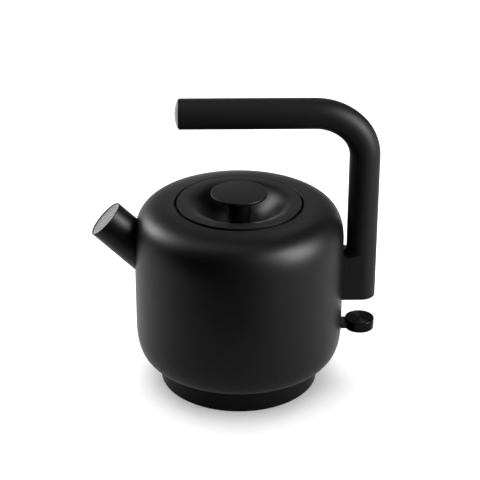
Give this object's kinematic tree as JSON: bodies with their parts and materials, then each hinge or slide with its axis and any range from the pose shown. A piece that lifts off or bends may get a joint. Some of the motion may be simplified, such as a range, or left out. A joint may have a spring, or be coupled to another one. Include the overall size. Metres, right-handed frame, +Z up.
{
  "type": "electric kettle",
  "caption": "Electric kettle with a short straight filtered spout, a hook handle open at the front, a lift-out lid, a boil lever and a round power base it lifts off.",
  "frame": {"origin": "centre of the power base's foot ring, at the height of the table", "axes": "+Z up; the spout points to -X and the handle stands at +X; the cord entry is at +Y"},
  "size_m": [0.2348, 0.1724, 0.2491],
  "materials": {
    "black_coat": "satin black coating over steel",
    "base_plastic": "fine satin moulded plastic",
    "black_plastic": "fine grain moulded plastic",
    "knob_black": "satin moulded plastic",
    "lever_metal": "spun face, black anodised",
    "lever_arm": "satin black coating",
    "cap_metal": "smooth satin coating",
    "filter_steel": "etched stainless sheet",
    "inner_steel": "satin stainless steel",
    "spreader_metal": "rolled aluminium plate",
    "element_sheath": "heat-tinted sheath",
    "control_plastic": "heat-proof moulding",
    "bimetal": "rolled spring sheet",
    "contact_brass": "tinned and worn brass",
    "screw_steel": "zinc plated",
    "spring_steel": "drawn spring wire",
    "rocker_plastic": "moulded plastic",
    "black_rubber": "moulded rubber",
    "seal_silicone": "moulded silicone"
  },
  "bodies": {
    "power_base": {"base_housing": "base_plastic", "base_bottom_plate": "black_plastic", "base_foot_ring": "black_rubber", "base_screws": "screw_steel", "base_connector": "black_plastic", "base_contacts": "contact_brass", "cord_grommet": "black_rubber"},
    "kettle": {"kettle_shell": "black_coat", "lid_seat": "black_plastic", "spout_tube": "black_coat", "spout_filter": "filter_steel", "filter_rim": "filter_steel", "floor_plate": "inner_steel", "heat_spreader": "spreader_metal", "heating_element": "element_sheath", "control_unit": "control_plastic", "bimetal_disc": "bimetal", "connector_plug": "black_plastic", "plug_pin": "contact_brass", "plug_rings": "contact_brass", "underside_cover": "black_plastic", "cover_pillars": "inner_steel", "cover_screws": "screw_steel", "steam_tube": "inner_steel", "handle_tube": "black_coat", "handle_foot": "black_coat", "handle_tongue": "inner_steel", "handle_screws": "screw_steel", "handle_end_cap": "cap_metal", "switch_housing": "black_plastic", "switch_pin": "screw_steel", "trip_pin": "screw_steel"},
    "lid": {"lid_cover": "black_coat", "lid_knob": "knob_black", "knob_screw": "screw_steel", "lid_inner": "black_plastic", "lid_seal": "seal_silicone", "lid_screws": "screw_steel"},
    "boil_lever": {"switch_arm": "lever_arm", "switch_paddle": "lever_metal", "paddle_screw": "screw_steel", "switch_spring": "spring_steel"},
    "trip_rocker": {"trip_lever": "rocker_plastic"}
  },
  "joints": [
    {"name": "kettle_lift", "type": "slide", "parent": "power_base", "child": "kettle", "axis": [0, 0, 1], "range_m": [0, 0.06]},
    {"name": "lid_lift", "type": "slide", "parent": "kettle", "child": "lid", "axis": [0, 0, 1], "range_m": [0, 0.045]},
    {"name": "boil_lever_pivot", "type": "hinge", "parent": "kettle", "child": "boil_lever", "pos_m": [0.066, 0, 0.0464], "axis": [0, 1, 0], "range_deg": [0, 10], "stiffness_Nm_per_rad": 0.5, "springref_deg": -5.73},
    {"name": "trip_rocker_pivot", "type": "hinge", "parent": "kettle", "child": "trip_rocker", "pos_m": [0.03, 0, 0.043], "axis": [0, 1, 0], "range_deg": [-6, 0]}
  ],
  "couplings": [
    {"joint": "trip_rocker_pivot", "follows": "boil_lever_pivot", "ratio": -0.6}
  ]
}
